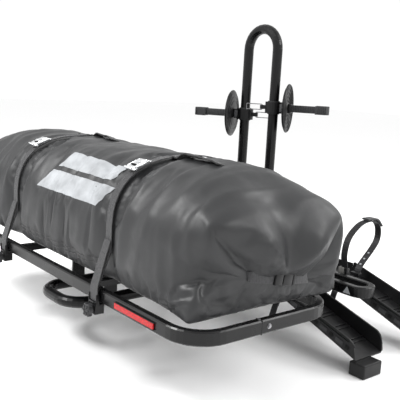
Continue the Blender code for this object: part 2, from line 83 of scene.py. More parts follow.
def make_camera():
    data = bpy.data.cameras.new("camera")
    data.sensor_width = 36
    data.lens = 59.914
    data.shift_x, data.shift_y = 0.045, -0.0175
    camera = bpy.data.objects.new("camera", data)
    bpy.context.collection.objects.link(camera)
    yaw, pitch, roll = -0.8993, 0.1725, 0.0494
    right = Vector((math.cos(yaw), -math.sin(yaw), 0))
    ahead = Vector((math.sin(yaw) * math.cos(pitch), math.cos(yaw) * math.cos(pitch), -math.sin(pitch)))
    up = right.cross(ahead)
    turned_right = math.cos(roll) * right + math.sin(roll) * up
    turned_up = math.cos(roll) * up - math.sin(roll) * right
    place = Matrix((turned_right, turned_up, -ahead)).transposed().to_4x4()
    place.translation = deck(1.5933, -0.8080, 0.5444)
    camera.matrix_world = place
    bpy.context.scene.camera = camera


def area_light(name, at, target, size, power):
    data = bpy.data.lights.new(name, "AREA")
    data.shape = "RECTANGLE"
    data.size, data.size_y = size
    data.energy = power
    light = bpy.data.objects.new(name, data)
    bpy.context.collection.objects.link(light)
    light.location = at
    light.rotation_mode = "QUATERNION"
    light.rotation_quaternion = (target - at).to_track_quat("-Z", "Y")


def make_stage():
    """A pale floor under the lowest piece, a pale surround and three soft lights."""
    low, half = START_BOX[0].z, 14
    corners = [(-half, -half, low), (half, -half, low), (half, half, low), (-half, half, low)]
    mesh = bpy.data.meshes.new("floor")
    mesh.from_pydata(corners, [], [(0, 1, 2, 3)])
    floor = bpy.data.objects.new("floor", mesh)
    bpy.context.collection.objects.link(floor)
    look = bpy.data.materials.new("floor_white")
    look.use_nodes = True
    shader = look.node_tree.nodes["Principled BSDF"]
    shader.inputs["Base Color"].default_value = (0.96, 0.96, 0.96, 1)
    shader.inputs["Roughness"].default_value = 0.9
    shader.inputs["Specular IOR Level"].default_value = 0.1
    mesh.materials.append(look)
    world = bpy.data.worlds.new("studio")
    world.use_nodes = True
    background = world.node_tree.nodes["Background"]
    background.inputs["Color"].default_value = (1, 1, 1, 1)
    background.inputs["Strength"].default_value = 1.02
    bpy.context.scene.world = world
    bpy.context.scene.view_settings.view_transform = "Standard"
    target = deck(0, 0.3, 0.1)
    area_light("key", deck(-0.9, -1.7, 2.4), target, (1.4, 0.8), 95)
    area_light("rim", deck(1.6, 2.6, 2.2), target, (2.2, 0.8), 46)
    area_light("end", deck(2.6, 0.9, 1.7), target, (1.0, 1.0), 26)


# ---------------------------------------------------------------- materials

class Look:
    """A Principled material with helpers that add procedural detail in object space."""

    FACTOR_RANGE = (0.3, 0.7)     # most of a noise's values lie between these

    def __init__(self, name, colour, roughness, metallic=0.0, **sockets):
        self.material = bpy.data.materials.new(name)
        self.material.use_nodes = True
        self.tree = self.material.node_tree
        self.shader = self.tree.nodes["Principled BSDF"]
        self.shader.inputs["Base Color"].default_value = (*colour, 1)
        self.shader.inputs["Roughness"].default_value = roughness
        self.shader.inputs["Metallic"].default_value = metallic
        for socket, value in sockets.items():
            self.shader.inputs[socket.replace("_", " ")].default_value = value
        self.where = self.tree.nodes.new("ShaderNodeTexCoord").outputs["Object"]
        self.normal = None

    def node(self, kind, **values):
        made = self.tree.nodes.new(kind)
        for key, value in values.items():
            if key in made.inputs:
                made.inputs[key].default_value = value
            else:
                setattr(made, key, value)
        return made

    def link(self, source, target):
        self.tree.links.new(source, target)

    def noise(self, scale, detail):
        made = self.node("ShaderNodeTexNoise", Scale=scale, Detail=detail)
        self.link(self.where, made.inputs["Vector"])
        return made.outputs["Fac"]

    def waves(self, scale, distortion, direction):
        made = self.node("ShaderNodeTexWave", Scale=scale, Distortion=distortion)
        made.bands_direction = direction
        self.link(self.where, made.inputs["Vector"])
        return made.outputs["Fac"]

    def tint(self, factor, dark, light):
        ramp = self.node("ShaderNodeValToRGB")
        stops = ramp.color_ramp.elements
        for stop, position, colour in zip(stops, self.FACTOR_RANGE, (dark, light)):
            stop.position = position
            stop.color = (*colour, 1)
        self.link(factor, ramp.inputs["Fac"])
        self.link(ramp.outputs["Color"], self.shader.inputs["Base Color"])

    def rough(self, factor, low, high):
        made = self.node("ShaderNodeMapRange")
        for socket, value in zip(("From Min", "From Max", "To Min", "To Max"),
                                 (*self.FACTOR_RANGE, low, high)):
            made.inputs[socket].default_value = value
        self.link(factor, made.inputs["Value"])
        self.link(made.outputs["Result"], self.shader.inputs["Roughness"])

    def bump(self, height, distance, strength):
        made = self.node("ShaderNodeBump", Distance=distance, Strength=strength)
        self.link(height, made.inputs["Height"])
        if self.normal:
            self.link(self.normal, made.inputs["Normal"])
        self.normal = made.outputs["Normal"]
        self.link(self.normal, self.shader.inputs["Normal"])


def powder_coat(name, colour, roughness):
    look = Look(name, colour, roughness, Specular_IOR_Level=0.28)
    look.tint(look.noise(9, 4), [c * 0.85 for c in colour], [c * 1.25 for c in colour])
    look.rough(look.noise(14, 5), roughness - 0.05, roughness + 0.08)
    look.bump(look.noise(900, 2), 0.00006, 0.5)
    return look.material


def moulded(name, colour, roughness, grain=0.00012):
    look = Look(name, colour, roughness, Specular_IOR_Level=0.30)
    look.tint(look.noise(22, 3), [c * 0.8 for c in colour], [c * 1.3 for c in colour])
    look.rough(look.noise(30, 4), roughness - 0.06, roughness + 0.1)
    look.bump(look.noise(1300, 2), grain, 0.6)
    return look.material


def bare_metal(name, colour, roughness):
    look = Look(name, colour, roughness, metallic=1.0)
    look.rough(look.noise(60, 4), roughness * 0.6, roughness * 1.5)
    look.bump(look.noise(500, 3), 0.00004, 0.6)
    return look.material


def tarpaulin():
    """Coated bag cloth: slight two-tone, a satin sheen and a fine woven grain under the coating."""
    look = Look("bag_tarpaulin", (0.020, 0.0205, 0.0215), 0.44, Specular_IOR_Level=0.4)
    look.tint(look.noise(5, 4), (0.0165, 0.017, 0.018), (0.0235, 0.024, 0.0250))
    look.rough(look.noise(18, 5), 0.38, 0.56)
    for direction in ("X", "DIAGONAL"):
        look.bump(look.waves(260.0, 0.4, direction), 0.00007, 0.35)
    look.bump(look.noise(45, 5), 0.0012, 0.35)
    return look.material


def woven(name, colour, roughness):
    """Webbing: coarse ribs across the band and a finer weft along it."""
    look = Look(name, colour, roughness, Sheen_Weight=0.2)
    look.tint(look.noise(180, 3), [c * 0.65 for c in colour], [c * 1.4 for c in colour])
    look.bump(look.waves(420.0, 0.8, "X"), 0.0004, 0.7)
    look.bump(look.waves(294.0, 1.2, "Z"), 0.0003, 0.6)
    return look.material


def reflector():
    """Red prismatic plastic: small cells seen through a clear face."""
    look = Look("red_reflector", (0.40, 0.002, 0.004), 0.25, Specular_IOR_Level=0.35)
    cells = look.node("ShaderNodeTexVoronoi", Scale=330.0)
    look.link(look.where, cells.inputs["Vector"])
    look.tint(cells.outputs["Distance"], (0.26, 0.001, 0.003), (0.52, 0.004, 0.007))
    look.bump(cells.outputs["Distance"], 0.0003, 0.5)
    return look.material


def make_looks():
    return {
        "frame_paint": powder_coat("black_powder_coat", (0.0035, 0.0035, 0.0038), 0.26),
        "shank_paint": powder_coat("black_shank_coat", (0.005, 0.005, 0.0055), 0.34),
        "zinc_steel": bare_metal("zinc_steel", (0.30, 0.30, 0.31), 0.32),
        "chrome_buckle": bare_metal("chrome_buckle", (0.80, 0.81, 0.82), 0.16),
        "tray_plastic": moulded("tray_plastic", (0.007, 0.007, 0.0075), 0.40),
        "black_plastic": moulded("black_plastic", (0.006, 0.006, 0.0065), 0.38),
        "grey_plastic": moulded("grey_plastic", (0.034, 0.0345, 0.036), 0.45),
        "strap_rubber": moulded("strap_rubber", (0.010, 0.010, 0.011), 0.5, 0.0002),
        "red_reflector": reflector(),
        "bag_fabric": tarpaulin(),
        "webbing": woven("grey_webbing", (0.026, 0.026, 0.028), 0.8),
        "print_white": moulded("print_white", (0.32, 0.332, 0.345), 0.55, 0.00005),
        "cover_grey": moulded("cover_grey", (0.10, 0.101, 0.105), 0.45),
        "label_grey": moulded("label_grey", (0.13, 0.127, 0.12), 0.6, 0.00005),
        "dark_webbing": woven("dark_webbing", (0.007, 0.007, 0.008), 0.75),
        # painted shade: a matte near-black look laid in openings (tray wall windows, buckle lever slot)
        # for the shade inside them
        "painted_hollow_shade": moulded("painted_hollow_shade", (0.004, 0.004, 0.004), 0.8),
    }


# ---------------------------------------------------------------- mesh helpers

def new_piece(name, shape, look, body, smooth_angle=35):
    """Turn a bmesh drawn in deck coordinates into a piece that rides on a CAD body."""
    bmesh.ops.recalc_face_normals(shape, faces=shape.faces)
    mesh = bpy.data.meshes.new(name)
    shape.to_mesh(mesh)
    shape.free()
    mesh.transform(Matrix.Translation(DECK))
    mesh.materials.append(look)
    mesh.shade_smooth()
    mesh.set_sharp_from_angle(angle=math.radians(smooth_angle))
    made = bpy.data.objects.new(name, mesh)
    bpy.context.collection.objects.link(made)
    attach(made, body)
    return made


def add_box(shape, centre, size, turn=None, bevel=0.0):
    """Add a box of the given full sizes, turned about its centre."""
    place = Matrix.Translation(Vector(centre))
    if turn is not None:
        place = place @ turn.to_4x4()
    made = bmesh.ops.create_cube(shape, size=1, matrix=place @ Matrix.Diagonal((*size, 1)))
    if bevel:
        edges = {e for v in made["verts"] for e in v.link_edges}
        bmesh.ops.bevel(shape, geom=list(edges), offset=bevel, segments=2, affect="EDGES",
                        profile=0.5)


def join_rings(shape, one, two):
    for k in range(len(one)):
        m = (k + 1) % len(one)
        shape.faces.new((one[k], one[m], two[m], two[k]))


def ribbon(shape, path, width_axis, width, thickness, rounding=0.25, closed=False, taper=None):
    """Sweep an eased flat band along a path; width_axis is a vector or one vector for each point."""
    rings = []
    count = len(path)
    for i, centre in enumerate(path):
        before = path[(i - 1) % count] if closed or i else path[0]
        after = path[(i + 1) % count] if closed or i < count - 1 else path[-1]
        along = (after - before).normalized()
        across = Vector(width_axis[i] if isinstance(width_axis, list) else width_axis)
        across = (across - along * across.dot(along)).normalized()
        out = along.cross(across)
        scale = taper(i / (count - 1)) if taper else 1.0
        w, t = width * scale / 2, thickness / 2
        e = min(w, t) * rounding * 2
        corners = [(-w, -t + e), (-w + e, -t), (w - e, -t), (w, -t + e),
                   (w, t - e), (w - e, t), (-w + e, t), (-w, t - e)]
        rings.append([shape.verts.new(centre + across * a + out * b) for a, b in corners])
    for i in range(count if closed else count - 1):
        join_rings(shape, rings[i], rings[(i + 1) % count])
    if not closed:
        shape.faces.new(rings[0])
        shape.faces.new(list(reversed(rings[-1])))


def smooth_path(points, steps):
    """A Catmull-Rom curve through given points."""
    points = [Vector(p) for p in points]
    ends = [2 * points[0] - points[1], *points, 2 * points[-1] - points[-2]]
    path = []
    for a, b, c, d in zip(ends, ends[1:], ends[2:], ends[3:]):
        for k in range(steps):
            t = k / steps
            path.append(0.5 * (2 * b + (c - a) * t + (2 * a - 5 * b + 4 * c - d) * t * t
                               + (3 * b - a - 3 * c + d) * t ** 3))
    path.append(points[-1])
    return path


def ease(low, high, value):
    """0 at low, 1 at high, smooth between; low may be the larger."""
    t = min(1.0, max(0.0, (value - low) / (high - low)))
    return t * t * (3 - 2 * t)


# ---------------------------------------------------------------- bag

BAG_LOW, BAG_HIGH = deck_box("cargo_bag")
BAG_Y, BAG_HALF_W = (BAG_LOW.y + BAG_HIGH.y) / 2, (BAG_HIGH.y - BAG_LOW.y) / 2
BAG_BOTTOM, BAG_TOP = BAG_LOW.z, BAG_HIGH.z
BAG_MIDDLE = BAG_BOTTOM + (BAG_TOP - BAG_BOTTOM) * 0.45    # its widest height
STRAP_X = {name: sum(corner.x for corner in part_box("cargo_strap_" + name)) / 2 for name in SIDES}
BODY_END = 0.43                       # where the loaf-shaped body turns into the folded mouth
# The folded mouth at the right end: four corners, then the pinched line under the closing strap.
TOP_FRONT, TOP_REAR = Vector((0.652, 0.420, 0.250)), Vector((0.600, 0.058, 0.246))
TIP, BOTTOM_FRONT = Vector((0.582, 0.028, 0.038)), Vector((0.606, 0.458, 0.046))
PINCH_REAR, PINCH_FRONT = Vector((0.612, 0.178, 0.127)), Vector((0.612, 0.337, 0.100))
SETTLE_FRAMES, MOST_SHIFT = 22, 0.010
SECTION_SIDES, BODY_RINGS, END_RINGS = 160, 130, 44
FLAP_LAP = 0.007                      # the top flap lies over the folded ears
EAR_CREASE_AT, EAR_CREASE = 184, 0.010
MOUTH_SHARE = 0.55                    # the mouth's edge, as a share of the way to the pinched line
LEFT_LONGER = -BAG_LOW.x - BAG_HIGH.x
# Each quarter of the mouth: start angle, corner there and after it, pinch there and after it,
# outward swell of its edge, belly of the flap inside it.
QUARTERS = (
    (45, TOP_FRONT, TOP_REAR, PINCH_FRONT, PINCH_REAR, (0.018, 0, 0.042), (0.050, 0, 0.006)),
    (135, TOP_REAR, TIP, PINCH_REAR, PINCH_REAR, (0, -0.014, 0), (0.002, -0.004, 0)),
    (225, TIP, BOTTOM_FRONT, PINCH_REAR, PINCH_FRONT, (0, 0, -0.004), (0.006, 0, -0.010)),
    (315, BOTTOM_FRONT, TOP_FRONT, PINCH_FRONT, PINCH_FRONT, (0.006, 0.014, 0), (0.012, 0.008, 0)),
)
# How softly the mouth's edge turns, at each angle round it.
ROUNDING = ((45, 0.08), (90, 0.40), (135, 0.08), (180, 0.40), (225, 0.03),
            (270, 0.18), (315, 0.05), (360, 0.16), (405, 0.08))


def body_section(x, angle):
    """The filled body: a loaf that lies flat, drawn in under the straps and swollen between them."""
    waist = sum(math.exp(-((x - at) / 0.055) ** 2) for at in STRAP_X.values())
    swell = -0.003 - 0.004 * (1 - waist)
    c, s = math.cos(angle), math.sin(angle)
    power = 2 / 2.45 if s > 0 else 2 / 9
    tall = BAG_TOP - BAG_MIDDLE + swell if s > 0 else BAG_MIDDLE - BAG_BOTTOM
    y = BAG_Y + (BAG_HALF_W + swell * 0.8) * math.copysign(abs(c) ** power, c)
    z = BAG_MIDDLE + tall * math.copysign(abs(s) ** power, s)
    overhang = 0.014 * (1 - waist) * ease(0.05, 0.2, BAG_Y - y) * ease(0.26, 0.10, z)
    return Vector((x, y - overhang, z))


def at_end(point, side):
    """A point of the right end, or its mirror image at the longer left end."""
    return point if side > 0 else Vector((-point.x - LEFT_LONGER, point.y, point.z))


def mouth_rounding(degrees):
    for (low, one), (high, two) in zip(ROUNDING, ROUNDING[1:]):
        if low <= degrees <= high:
            return one + (two - one) * ease(low, high, degrees)


def end_point(side, angle, t):
    """The folded end: t runs from the body, 0, round the mouth's edge, to the pinched line, 1."""
    degrees = (math.degrees(angle) - 45) % 360 + 45
    start, here, after, pinch_here, pinch_after, swell, belly = QUARTERS[int((degrees - 45) // 90)]
    s = (degrees - start) / 90
    hump = math.sin(math.pi * s) ** 0.8
    root = body_section(BODY_END, angle)
    mouth = here.lerp(after, s) + Vector(swell) * hump
    pinch = pinch_here.lerp(pinch_after, s)
    edge, r = MOUTH_SHARE, mouth_rounding(degrees)

    def leg(u):
        if u < edge:
            v = u / edge
            flat = root.lerp(mouth, v)
            eased = root.lerp(mouth, v ** 1.7)
            return Vector((flat.x, eased.y, eased.z))
        v = (u - edge) / (1 - edge)
        lap = FLAP_LAP * ease(0.0, 0.05, min(s, 1 - s)) if start == 45 else 0
        return (mouth.lerp(pinch, v) + Vector(belly) * hump * math.sin(math.pi * v ** 1.25)
                + Vector((lap, 0, 0)) * math.sin(math.pi * v) ** 0.5)

    if abs(t - edge) < r:
        k = (t - edge + r) / (2 * r)
        point = leg(edge - r) * (1 - k) ** 2 + mouth * 2 * k * (1 - k) + leg(edge + r) * k ** 2
    else:
        point = leg(t)
    if start == 135:    # a long crease runs to the pinch along the rear ear
        width = math.exp(-((degrees - EAR_CREASE_AT) / 7) ** 2)
        point.y += EAR_CREASE * math.sin(math.pi * t) * width
    return at_end(point, side)


def crease_noise(point, scale, stretch, seed):
    """Soft folds: noise stretched along one direction and sharpened into ridges."""
    place = Vector((point.x * stretch[0], point.y * stretch[1], point.z * stretch[2])) * scale
    return 1 - 2 * abs(noise.noise(place + Vector((seed, seed * 1.7, seed * 0.6))))


def soften(point, normal):
    """Push a surface point in or out by folds that die out where the bag lies on the deck."""
    lift = ease(BAG_BOTTOM + 0.008, BAG_BOTTOM + 0.060, point.z)
    broad = crease_noise(point, 4.2, (1.0, 0.6, 0.45), 3.1)
    folds = crease_noise(point, 10.0, (1.6, 0.45, 0.32), 7.7)
    fine = crease_noise(point, 24.0, (1.3, 0.7, 0.7), 1.9)
    near = max(math.exp(-abs(point.x - at) / 0.09) for at in STRAP_X.values())
    under = max(math.exp(-((point.x - at) / 0.024) ** 2) for at in STRAP_X.values())
    ends = ease(0.30, 0.52, abs(point.x))
    push = (0.0050 * (broad - 0.55) + 0.0050 * (folds - 0.6) * (0.45 + near + 0.5 * ends)
            + 0.0010 * (fine - 0.5))
    return point + normal * push * lift * (1 - 0.9 * under)


def make_bag(look):
    angles = [2 * math.pi * (i + 0.5) / SECTION_SIDES for i in range(SECTION_SIDES)]
    inward = [k / END_RINGS for k in range(1, END_RINGS + 1)]
    grid = [[end_point(-1, angle, t) for angle in angles] for t in reversed(inward)]
    reach = BODY_END + LEFT_LONGER
    for k in range(BODY_RINGS + 1):
        x = -reach + (reach + BODY_END) * k / BODY_RINGS
        grid.append([body_section(x, angle) for angle in angles])
    grid += [[end_point(1, angle, t) for angle in angles] for t in inward]
    shape = bmesh.new()
    rings = [[shape.verts.new(p) for p in row] for row in grid]
    for one, two in zip(rings, rings[1:]):
        join_rings(shape, one, two)
    shape.faces.new(rings[0])
    shape.faces.new(rings[-1])
    bmesh.ops.remove_doubles(shape, verts=shape.verts, dist=0.0002)
    bmesh.ops.recalc_face_normals(shape, faces=shape.faces)
    shape.normal_update()
    moved = [soften(v.co, v.normal) for v in shape.verts]
    for vert, co in zip(shape.verts, moved):
        vert.co = co
    bag = new_piece("soft_cargo_bag", shape, look["bag_fabric"], "platform", 75)
    settle_cloth(bag)
    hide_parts("cargo_bag")
    return bag


def settle_cloth(bag):
    """Let the fabric, cut a little large, buckle between the straps under light pressure."""
    held = bag.vertex_groups.new(name="held")
    centre_x = -LEFT_LONGER / 2
    start = [v.co.copy() for v in bag.data.vertices]
    for index, co in enumerate(start):
        place = co - DECK
        at_strap = max(ease(0.034, 0.020, abs(place.x - x)) for x in STRAP_X.values())
        at_floor = ease(BAG_BOTTOM + 0.022, BAG_BOTTOM + 0.008, place.z)
        mirrored = Vector((abs(place.x - centre_x) + centre_x, place.y, place.z))
        at_pinch = max(ease(0.040, 0.014, away_from(mirrored, PINCH_REAR, PINCH_FRONT)),
                       ease(0.060, 0.020, (mirrored - TIP).length))
        held.add([index], max(at_strap, at_floor, at_pinch), "REPLACE")
    cloth = bag.modifiers.new("Cloth", "CLOTH")
    cloth.settings.quality = 4
    cloth.settings.mass = 0.25
    cloth.settings.tension_stiffness = cloth.settings.compression_stiffness = 20
    cloth.settings.shear_stiffness = 8
    cloth.settings.bending_stiffness = 0.6
    cloth.settings.use_pressure = True
    cloth.settings.uniform_pressure_force = 2.0
    cloth.settings.effector_weights.gravity = 0
    cloth.settings.vertex_group_mass = "held"
    cloth.settings.shrink_min = -0.045
    cloth.collision_settings.use_collision = False
    scene = bpy.context.scene
    for step in range(1, SETTLE_FRAMES + 1):
        scene.frame_set(step)
    settled = bag.evaluated_get(bpy.context.evaluated_depsgraph_get()).data
    moved = [v.co.copy() for v in settled.vertices]
    bag.modifiers.remove(cloth)
    scene.frame_set(1)
    for vert, before, after in zip(bag.data.vertices, start, moved):
        shift = after - before
        vert.co = before + shift * min(1.0, MOST_SHIFT / max(shift.length, EPSILON))
    bag.vertex_groups.clear()


def away_from(point, one, two):
    """Distance from a point to the line between two others."""
    share = (point - one).dot(two - one) / (two - one).length_squared
    return (point - one.lerp(two, min(1.0, max(0.0, share)))).length


class Surface:
    """The finished bag's surface, for laying trim on it."""

    def __init__(self, bag):
        mesh = bag.data
        self.tree = BVHTree.FromPolygons([v.co - DECK for v in mesh.vertices],
                                         [p.vertices[:] for p in mesh.polygons])

    def at(self, x, degrees, lift):
        """A point over the bag's surface at an angle round its section: 90 is the top, 180 the rear."""
        middle = Vector((x, BAG_Y, BAG_MIDDLE))
        out = Vector((0, math.cos(math.radians(degrees)), math.sin(math.radians(degrees))))
        place, normal, _, _ = self.tree.ray_cast(middle + out, -out)
        return place + normal * lift, normal


def patch(surface, corners, rows, columns, lift, thickness):
    """A thin printed patch on the bag; corners are (x, degrees) in turn from its lower left."""
    (x0, a0), (x1, a1), (x2, a2), (x3, a3) = corners
    shape = bmesh.new()
    sheets = []
    for height in (lift - thickness, lift):
        sheet = []
        for i in range(rows + 1):
            v = i / rows
            row = []
            for k in range(columns + 1):
                u = k / columns
                x = (x0 + (x1 - x0) * u) * (1 - v) + (x3 + (x2 - x3) * u) * v
                angle = (a0 + (a1 - a0) * u) * (1 - v) + (a3 + (a2 - a3) * u) * v
                row.append(shape.verts.new(surface.at(x, angle, height)[0]))
            sheet.append(row)
        sheets.append(sheet)
        for one, two in zip(sheet, sheet[1:]):
            for k in range(columns):
                shape.faces.new((one[k], one[k + 1], two[k + 1], two[k]))
    rim = ([(0, k) for k in range(columns)] + [(i, columns) for i in range(rows)]
           + [(rows, k) for k in range(columns, 0, -1)] + [(i, 0) for i in range(rows, 0, -1)])
    for (i, k), (m, n) in zip(rim, rim[1:] + rim[:1]):
        shape.faces.new((sheets[0][i][k], sheets[0][m][n], sheets[1][m][n], sheets[1][i][k]))
    return shape


def make_bag_trim(surface, look):
    """Two plain light bars, a double seam, carry handles and the closing strap with its buckle."""
    bars = {"upper": ((-0.095, 148), (0.206, 149), (0.222, 135), (-0.060, 133)),
            "lower": ((-0.135, 168), (0.198, 168), (0.230, 153), (-0.110, 152))}
    for name, corners in bars.items():
        shape = patch(surface, corners, rows=26, columns=120, lift=0.0012, thickness=0.0006)
        new_piece("bag_print_bar_" + name, shape, look["print_white"], "platform")
    seam_from, seam_length, steps = -0.245, 0.49, 60
    for name, degrees in (("upper", 200.5), ("lower", 203.5)):
        shape = bmesh.new()
        path, across = [], []
        for k in range(steps + 1):
            place, normal = surface.at(seam_from + seam_length * k / steps, degrees, 0.0006)
            path.append(place)
            across.append(normal.cross(Vector((1, 0, 0))))
        ribbon(shape, path, across, 0.0035, 0.0014)
        new_piece("bag_seam_" + name, shape, look["dark_webbing"], "platform")
    for name, low, high, degrees in (("left", -0.325, -0.120, 78), ("right", 0.255, 0.445, 101)):
        shape = bmesh.new()
        path, steps = [], 30
        for k in range(steps + 1):
            t = k / steps
            rise = 0.0020 + 0.006 * math.sin(math.pi * t) ** 0.8
            path.append(surface.at(low + (high - low) * t, degrees, rise)[0])
        ribbon(shape, path, (0, 1, -0.3), 0.030, 0.0035)
        new_piece("bag_handle_" + name, shape, look["dark_webbing"], "platform")
    for side, name in ((1, "right"), (-1, "left")):
        make_closing_strap(name, side, look)


def make_closing_strap(name, side, look):
    """The folded mouth is held shut by a short strap with a side-release buckle."""
    low, high = PINCH_REAR + Vector((0, -0.012, 0.004)), PINCH_FRONT + Vector((0, 0.012, 0.001))
    out = Vector((0.010, 0, 0))
    path = smooth_path([low - out * 0.6, low + out * 0.5, low.lerp(high, 0.2) + out,
                        low.lerp(high, 0.5) + out * 1.2, low.lerp(high, 0.8) + out,
                        high + out * 0.4, high - out * 0.6], 6)
    shape = bmesh.new()
    ribbon(shape, [at_end(p, side) for p in path], (0, -0.17, 1), 0.024, 0.0022)
    new_piece("closing_strap_" + name, shape, look["webbing"], "platform")
    shape = bmesh.new()
    tilt = Matrix.Rotation(math.atan2(high.z - low.z, high.y - low.y), 3, "X")
    middle = low.lerp(high, 0.52) + out * 1.5

    for along, edge, size, bevel in ((-0.019, 0, (0.009, 0.024, 0.031), 0.003),
                                     (0.010, 0, (0.008, 0.030, 0.030), 0.003),
                                     (0.030, 0, (0.007, 0.008, 0.030), 0.002),
                                     (-0.003, -0.0145, (0.006, 0.016, 0.005), 0.0015),
                                     (-0.003, 0.0145, (0.006, 0.016, 0.005), 0.0015)):
        centre = middle + tilt @ Vector((0, along, edge))
        add_box(shape, at_end(centre, side), size, tilt, bevel)
    new_piece("closing_buckle_" + name, shape, look["black_plastic"], "platform")


# ---------------------------------------------------------------- lashing straps

def make_strap_trim(surface, look):
    """Each cargo strap gets its tapering tail, a keeper on the rail, its buckle and its knob."""
    for name, x in STRAP_X.items():
        shape = bmesh.new()
        path = smooth_path([(x, surface.at(x, 190, 0.0)[0].y - 0.0095, 0.150),
                            (x, BAG_LOW.y - 0.022, 0.105), (x, -0.0010, 0.062),
                            (x, -0.0078, 0.038), (x, -0.0080, 0.004)], 6)
        ribbon(shape, path, (1, 0, 0), 0.030, 0.0016, taper=lambda t: 0.9 + 0.28 * t)
        new_piece("strap_tail_" + name, shape, look["webbing"], "platform")
        shape = bmesh.new()
        for ear_x in (x - 0.0165, x + 0.0165):
            add_box(shape, (ear_x, -0.0075, 0.006), (0.003, 0.010, 0.030), None, 0.001)
        add_box(shape, (x, -0.0105, 0.0005), (0.036, 0.004, 0.005), None, 0.001)
        new_piece("strap_keeper_" + name, shape, look["black_plastic"], "platform")
        make_buckle_trim(name, look)
        make_knob_trim(name, look)


def make_knob_trim(name, look):
    """Six spokes on the knob's face, each ending in a lobe on its rim."""
    low, high = deck_box("strap_knob_" + name)
    centre, radius, lobes = (low + high) / 2, (high.z - low.z) / 2, 6
    spoke = radius * 0.62
    shape = bmesh.new()
    for k in range(lobes):
        turn = Matrix.Rotation(2 * math.pi * k / lobes, 3, "Y")
        arm, tip = turn @ Vector((spoke, 0, 0)), turn @ Vector((radius, 0, 0))
        add_box(shape, (centre.x + arm.x, low.y - 0.0006, centre.z + arm.z),
                (spoke, 0.0036, 0.0042), turn, 0.0008)
        add_box(shape, (centre.x + tip.x, low.y + 0.007, centre.z + tip.z),
                (0.0060, 0.011, 0.0085), turn, 0.0018)
    new_piece("knob_spokes_" + name, shape, look["grey_plastic"], "strap_knob_" + name)


def make_buckle_trim(name, look):
    """Side ears, a cross bar and a folded lip make the cam buckle's two halves."""
    low, high = deck_box("cam_buckle_" + name)
    centre, lever = (low + high) / 2, "cam_lever_" + name
    corner_angle = 0.13     # the box's diagonal leans this much more than the buckle does
    tilt_angle = math.atan2(high.z - low.z, high.y - low.y) - corner_angle
    tilt = Matrix.Rotation(tilt_angle, 3, "X")

    def part(shape, across, along, rise, size, bevel):
        place = centre + Vector((across, 0, 0)) + tilt @ Vector((0, along, rise))
        add_box(shape, place, size, tilt, bevel)

    frame_parts, lever_parts, slots = bmesh.new(), bmesh.new(), bmesh.new()
    for side in (-1, 1):
        part(frame_parts, side * 0.0200, 0.0, 0.0020, (0.0030, 0.040, 0.0095), 0.0012)
    part(frame_parts, 0, -0.0250, 0.0010, (0.0430, 0.0060, 0.0050), 0.0018)
    part(frame_parts, 0, 0.0245, 0.0005, (0.0400, 0.0045, 0.0040), 0.0014)
    part(lever_parts, 0, -0.0300, 0.0070, (0.0330, 0.0050, 0.0060), 0.0016)
    part(lever_parts, 0, 0.0060, 0.0084, (0.0200, 0.0160, 0.0014), 0.0006)
    # painted shade: a thin matte black plate on the lever stands in for the shaded hollow of its slot
    part(slots, 0, -0.0130, 0.0083, (0.0200, 0.0050, 0.0012), 0.0004)
    chrome, painted_shade = look["chrome_buckle"], look["painted_hollow_shade"]
    new_piece("buckle_frame_" + name, frame_parts, chrome, "platform")
    new_piece("buckle_lever_lip_" + name, lever_parts, chrome, lever)
    new_piece("buckle_slot_shade_" + name, slots, painted_shade, lever)


# ---------------------------------------------------------------- trays and wheel straps

TRAYS = {(row, name): deck_box("wheel_cradle_" + row + "_" + name)
         for row in ("rear", "front") for name in SIDES}
CRADLE_START, CRADLE_SLOPE, CRADLE_TOP = 0.300, 0.34, -0.0538   # where the slope starts, its floor
WHEEL_STRAP_X = 0.345


def floor_z(x):
    return CRADLE_TOP - CRADLE_SLOPE * (x - CRADLE_START)


def wall_z(x):
    return floor_z(x) + 0.030 + 0.055 * (x - CRADLE_START)


def make_tray_trim(look):
    """Paired floor ribs, rolled rims, and side walls with raised panels and windows; each window is a
    matte black sheet, painted shade for the opening.
    """
    cells, pitch = 5, 0.055
    black, painted_shade = look["tray_plastic"], look["painted_hollow_shade"]
    for (row, name), (low, high) in TRAYS.items():
        side, y, half_w = SIDES[name], (low.y + high.y) / 2, (high.y - low.y) / 2
        turn = Matrix.Rotation(side * math.atan(CRADLE_SLOPE), 3, "Y")
        tag = "_%s_%s" % (row, name)
        ribs = bmesh.new()
        for k in range(cells):
            for gap in (-0.006, 0.006):
                x = 0.335 + pitch * k + gap
                add_box(ribs, (side * x, y, floor_z(x) + 0.0048),
                        (0.0026, 2 * half_w - 0.016, 0.0050), turn, 0.0008)
        new_piece("cradle_ribs" + tag, ribs, black, "platform")
        rims, panels, window_shades = bmesh.new(), bmesh.new(), bmesh.new()
        for wall in (-1, 1):
            edge = y + wall * (half_w - 0.0008)
            path = [Vector((side * x, edge, wall_z(x) + 0.0008))
                    for x in (0.303, 0.36, 0.42, 0.48, 0.54, 0.590)]
            second = [p + Vector((0, wall * 0.0012, -0.0075)) for p in path]
            for x, drop, inward in ((0.600, 0.006, 0.001), (0.607, 0.016, 0.003)):
                path.append(Vector((side * x, edge - wall * inward, wall_z(0.590) - drop)))
            ribbon(rims, path, (0, 1, 0), 0.0056, 0.0036, 0.4)
            ribbon(rims, second, (0, 1, 0), 0.0030, 0.0018, 0.4)
            for k in range(cells):
                x = 0.338 + pitch * k
                middle = (floor_z(x) + wall_z(x)) / 2 - 0.001
                add_box(panels, (side * x, edge, middle), (0.026, 0.0022, 0.0125), turn, 0.0008)
                # painted shade: each window is a matte black sheet standing in for the shaded inside of
                # an opening
                add_box(window_shades, (side * (x + 0.0265), edge, middle - 0.009),
                        (0.0125, 0.0018, 0.0110), turn, 0.0005)
        new_piece("cradle_rims" + tag, rims, black, "platform")
        new_piece("cradle_panels" + tag, panels, look["grey_plastic"], "platform")
        new_piece("cradle_window_shades" + tag, window_shades, painted_shade, "platform")


